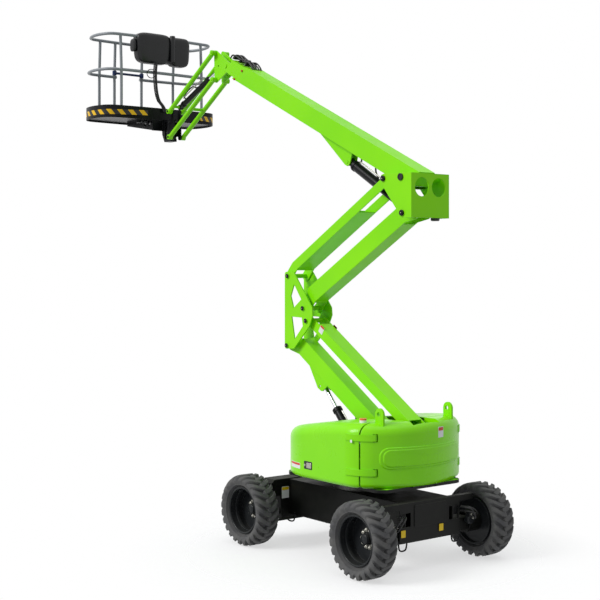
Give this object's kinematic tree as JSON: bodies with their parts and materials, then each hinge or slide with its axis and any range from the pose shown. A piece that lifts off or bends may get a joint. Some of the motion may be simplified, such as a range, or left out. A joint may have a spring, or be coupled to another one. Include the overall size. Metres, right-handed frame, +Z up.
{
  "type": "articulating boom lift",
  "caption": "Self-propelled work platform on four wheels: slewing turret, folding two-stage riser, telescopic boom, jib and rotating basket.",
  "frame": {"origin": "on the ground under the slew axis, midway between the axles", "axes": "+X towards the basket with the turret straight, +Y to the left side, +Z up along the slew axis"},
  "size_m": [6.1574, 1.94, 6.2],
  "materials": {
    "lime_paint": "gloss",
    "lime_cover": "gloss",
    "black_paint": "satin",
    "bare_steel": "satin",
    "engine_iron": "matt",
    "beacon_plastic": "gloss",
    "chrome_rod": "polished",
    "rail_grey": "satin",
    "console_plastic": "matt",
    "gate_blue": "satin",
    "tyre_rubber": "matt"
  },
  "bodies": {
    "chassis": {"chassis_frame": "black_paint", "slew_ring": "bare_steel", "rear_axle": "black_paint", "front_axle": "black_paint"},
    "steer_knuckle_left": {"steering_knuckle_left": "black_paint"},
    "steer_knuckle_right": {"steering_knuckle_right": "black_paint"},
    "tie_rod": {"track_rod": "black_paint"},
    "wheel_front_left": {"tyre_front_left": "tyre_rubber", "rim_front_left": "black_paint"},
    "wheel_front_right": {"tyre_front_right": "tyre_rubber", "rim_front_right": "black_paint"},
    "wheel_rear_left": {"tyre_rear_left": "tyre_rubber", "rim_rear_left": "black_paint"},
    "wheel_rear_right": {"tyre_rear_right": "tyre_rubber", "rim_rear_right": "black_paint"},
    "turret": {"turret_base": "black_paint", "counterweight": "lime_paint", "engine_block": "engine_iron", "exhaust_pipe": "bare_steel"},
    "left_cover": {"cover_left": "lime_cover", "beacon": "beacon_plastic"},
    "right_cover": {"cover_right": "lime_cover"},
    "link_c": {"riser_link_c": "lime_paint"},
    "link_d": {"riser_link_d": "lime_paint"},
    "elbow_frame": {"elbow": "lime_paint"},
    "link_b": {"riser_link_b": "lime_paint"},
    "link_a": {"riser_link_a": "lime_paint"},
    "knuckle_frame": {"knuckle": "lime_paint"},
    "lift_barrel": {"lift_cylinder_barrel": "black_paint"},
    "lift_rod": {"lift_cylinder_rod": "chrome_rod"},
    "main_boom": {"boom_outer": "lime_paint"},
    "boom_section": {"boom_inner": "lime_paint"},
    "boom_barrel": {"boom_cylinder_barrel": "black_paint"},
    "boom_rod": {"boom_cylinder_rod": "chrome_rod"},
    "nose": {"nose_bracket": "lime_paint"},
    "jib_upper": {"jib_tubes_upper": "lime_paint"},
    "jib_lower": {"jib_tubes_lower": "lime_paint"},
    "jib_barrel": {"jib_cylinder_barrel": "black_paint"},
    "jib_rod": {"jib_cylinder_rod": "chrome_rod"},
    "carrier": {"jib_carrier": "black_paint"},
    "basket": {"basket_floor": "black_paint", "basket_rails": "rail_grey", "control_console": "console_plastic"},
    "entry_bar": {"gate_bar": "gate_blue"}
  },
  "joints": [
    {"name": "slew", "type": "hinge", "parent": "chassis", "child": "turret", "pos_m": [0, 0, 0.79], "axis": [0, 0, 1], "range_deg": [-177.5, 177.5]},
    {"name": "steer_left", "type": "hinge", "parent": "chassis", "child": "steer_knuckle_left", "pos_m": [0.9565, 0.64, 0.4], "axis": [0, 0, 1], "range_deg": [-35, 35]},
    {"name": "steer_right", "type": "hinge", "parent": "chassis", "child": "steer_knuckle_right", "pos_m": [0.9565, -0.64, 0.4], "axis": [0, 0, 1], "range_deg": [-35, 35]},
    {"name": "tie_rod_pivot", "type": "hinge", "parent": "steer_knuckle_left", "child": "tie_rod", "pos_m": [0.7765, 0.64, 0.27], "axis": [0, 0, 1], "range_deg": [-35, 35]},
    {"name": "spin_front_left", "type": "hinge", "parent": "steer_knuckle_left", "child": "wheel_front_left", "pos_m": [0.9565, 0.825, 0.39], "axis": [0, 1, 0], "continuous": true},
    {"name": "spin_front_right", "type": "hinge", "parent": "steer_knuckle_right", "child": "wheel_front_right", "pos_m": [0.9565, -0.825, 0.39], "axis": [0, 1, 0], "continuous": true},
    {"name": "spin_rear_left", "type": "hinge", "parent": "chassis", "child": "wheel_rear_left", "pos_m": [-0.9565, 0.825, 0.39], "axis": [0, 1, 0], "continuous": true},
    {"name": "spin_rear_right", "type": "hinge", "parent": "chassis", "child": "wheel_rear_right", "pos_m": [-0.9565, -0.825, 0.39], "axis": [0, 1, 0], "continuous": true},
    {"name": "cover_left_hinge", "type": "hinge", "parent": "turret", "child": "left_cover", "pos_m": [-0.862, 0.57766, 1.15], "axis": [0, 0, 1], "range_deg": [0, 85]},
    {"name": "cover_right_hinge", "type": "hinge", "parent": "turret", "child": "right_cover", "pos_m": [-0.862, -0.57766, 1.15], "axis": [0, 0, -1], "range_deg": [0, 85]},
    {"name": "riser_lift", "type": "hinge", "parent": "turret", "child": "link_d", "pos_m": [-0.569, 0, 1.068], "axis": [0, -1, 0], "range_deg": [-20, 43]},
    {"name": "link_c_pivot", "type": "hinge", "parent": "turret", "child": "link_c", "pos_m": [-0.923, 0, 1.364], "axis": [0, -1, 0], "range_deg": [-20, 43]},
    {"name": "elbow_pivot", "type": "hinge", "parent": "link_d", "child": "elbow_frame", "pos_m": [1.16, 0, 2.169], "axis": [0, -1, 0], "range_deg": [-43, 20]},
    {"name": "link_b_pivot", "type": "hinge", "parent": "elbow_frame", "child": "link_b", "pos_m": [0.861, 0, 2.605], "axis": [0, -1, 0], "range_deg": [-43, 20]},
    {"name": "link_a_pivot", "type": "hinge", "parent": "elbow_frame", "child": "link_a", "pos_m": [1.146, 0, 2.97], "axis": [0, -1, 0], "range_deg": [-43, 20]},
    {"name": "knuckle_pivot", "type": "hinge", "parent": "link_b", "child": "knuckle_frame", "pos_m": [-0.919, 0, 3.627], "axis": [0, -1, 0], "range_deg": [-20, 43]},
    {"name": "lift_barrel_pivot", "type": "hinge", "parent": "turret", "child": "lift_barrel", "pos_m": [-0.045, 0, 0.955], "axis": [0, -1, 0], "range_deg": [-24, 50]},
    {"name": "lift_rod_slide", "type": "slide", "parent": "lift_barrel", "child": "lift_rod", "axis": [0.6673, 0, 0.7448], "range_m": [-0.17, 0.36]},
    {"name": "boom_lift", "type": "hinge", "parent": "knuckle_frame", "child": "main_boom", "pos_m": [-0.9, 0, 3.994], "axis": [0, -1, 0], "range_deg": [-8, 47]},
    {"name": "boom_extend", "type": "slide", "parent": "main_boom", "child": "boom_section", "axis": [0.9026, 0, 0.4305], "range_m": [0, 1.9]},
    {"name": "boom_barrel_pivot", "type": "hinge", "parent": "main_boom", "child": "boom_barrel", "pos_m": [0.202, 0, 4.23], "axis": [0, -1, 0], "range_deg": [-6, 1]},
    {"name": "boom_rod_slide", "type": "slide", "parent": "boom_barrel", "child": "boom_rod", "axis": [-0.8617, 0, -0.5074], "range_m": [-0.05, 0.26]},
    {"name": "nose_level", "type": "hinge", "parent": "boom_section", "child": "nose", "pos_m": [2.488, 0, 5.569], "axis": [0, -1, 0], "range_deg": [-47, 8]},
    {"name": "jib_lift", "type": "hinge", "parent": "nose", "child": "jib_upper", "pos_m": [2.761, 0, 5.77], "axis": [0, -1, 0], "range_deg": [-33, 84]},
    {"name": "jib_lower_pivot", "type": "hinge", "parent": "nose", "child": "jib_lower", "pos_m": [2.751, 0, 5.43], "axis": [0, -1, 0], "range_deg": [-33, 84]},
    {"name": "carrier_level", "type": "hinge", "parent": "jib_upper", "child": "carrier", "pos_m": [3.79, 0, 5.133], "axis": [0, -1, 0], "range_deg": [-84, 33]},
    {"name": "jib_barrel_pivot", "type": "hinge", "parent": "jib_upper", "child": "jib_barrel", "pos_m": [3.672, 0, 5.183], "axis": [0, -1, 0], "range_deg": [-5, 2]},
    {"name": "jib_rod_slide", "type": "slide", "parent": "jib_barrel", "child": "jib_rod", "axis": [-0.919, 0, 0.3943], "range_m": [-0.08, 0.2]},
    {"name": "basket_rotate", "type": "hinge", "parent": "carrier", "child": "basket", "pos_m": [3.9, 0, 4.9], "axis": [0, 0, 1], "range_deg": [-90, 90]},
    {"name": "entry_bar_slide", "type": "slide", "parent": "basket", "child": "entry_bar", "axis": [-0.0489, 0, 0.9988], "range_m": [0, 0.3]}
  ],
  "couplings": [
    {"joint": "steer_right", "follows": "steer_left", "ratio": 1},
    {"joint": "tie_rod_pivot", "follows": "steer_left", "ratio": -1},
    {"joint": "link_c_pivot", "follows": "riser_lift", "ratio": 1},
    {"joint": "elbow_pivot", "follows": "riser_lift", "ratio": -1},
    {"joint": "link_b_pivot", "follows": "riser_lift", "ratio": -1},
    {"joint": "link_a_pivot", "follows": "riser_lift", "ratio": -1},
    {"joint": "knuckle_pivot", "follows": "riser_lift", "ratio": 1},
    {"joint": "lift_barrel_pivot", "follows": "riser_lift", "ratio": 1.15},
    {"joint": "lift_rod_slide", "follows": "riser_lift", "m_per_rad": 0.466},
    {"joint": "boom_barrel_pivot", "follows": "boom_lift", "ratio": -0.12},
    {"joint": "boom_rod_slide", "follows": "boom_lift", "m_per_rad": 0.31},
    {"joint": "nose_level", "follows": "boom_lift", "ratio": -1},
    {"joint": "jib_lower_pivot", "follows": "jib_lift", "ratio": 1},
    {"joint": "carrier_level", "follows": "jib_lift", "ratio": -1},
    {"joint": "jib_barrel_pivot", "follows": "jib_lift", "ratio": -0.05},
    {"joint": "jib_rod_slide", "follows": "jib_lift", "m_per_rad": 0.13}
  ]
}
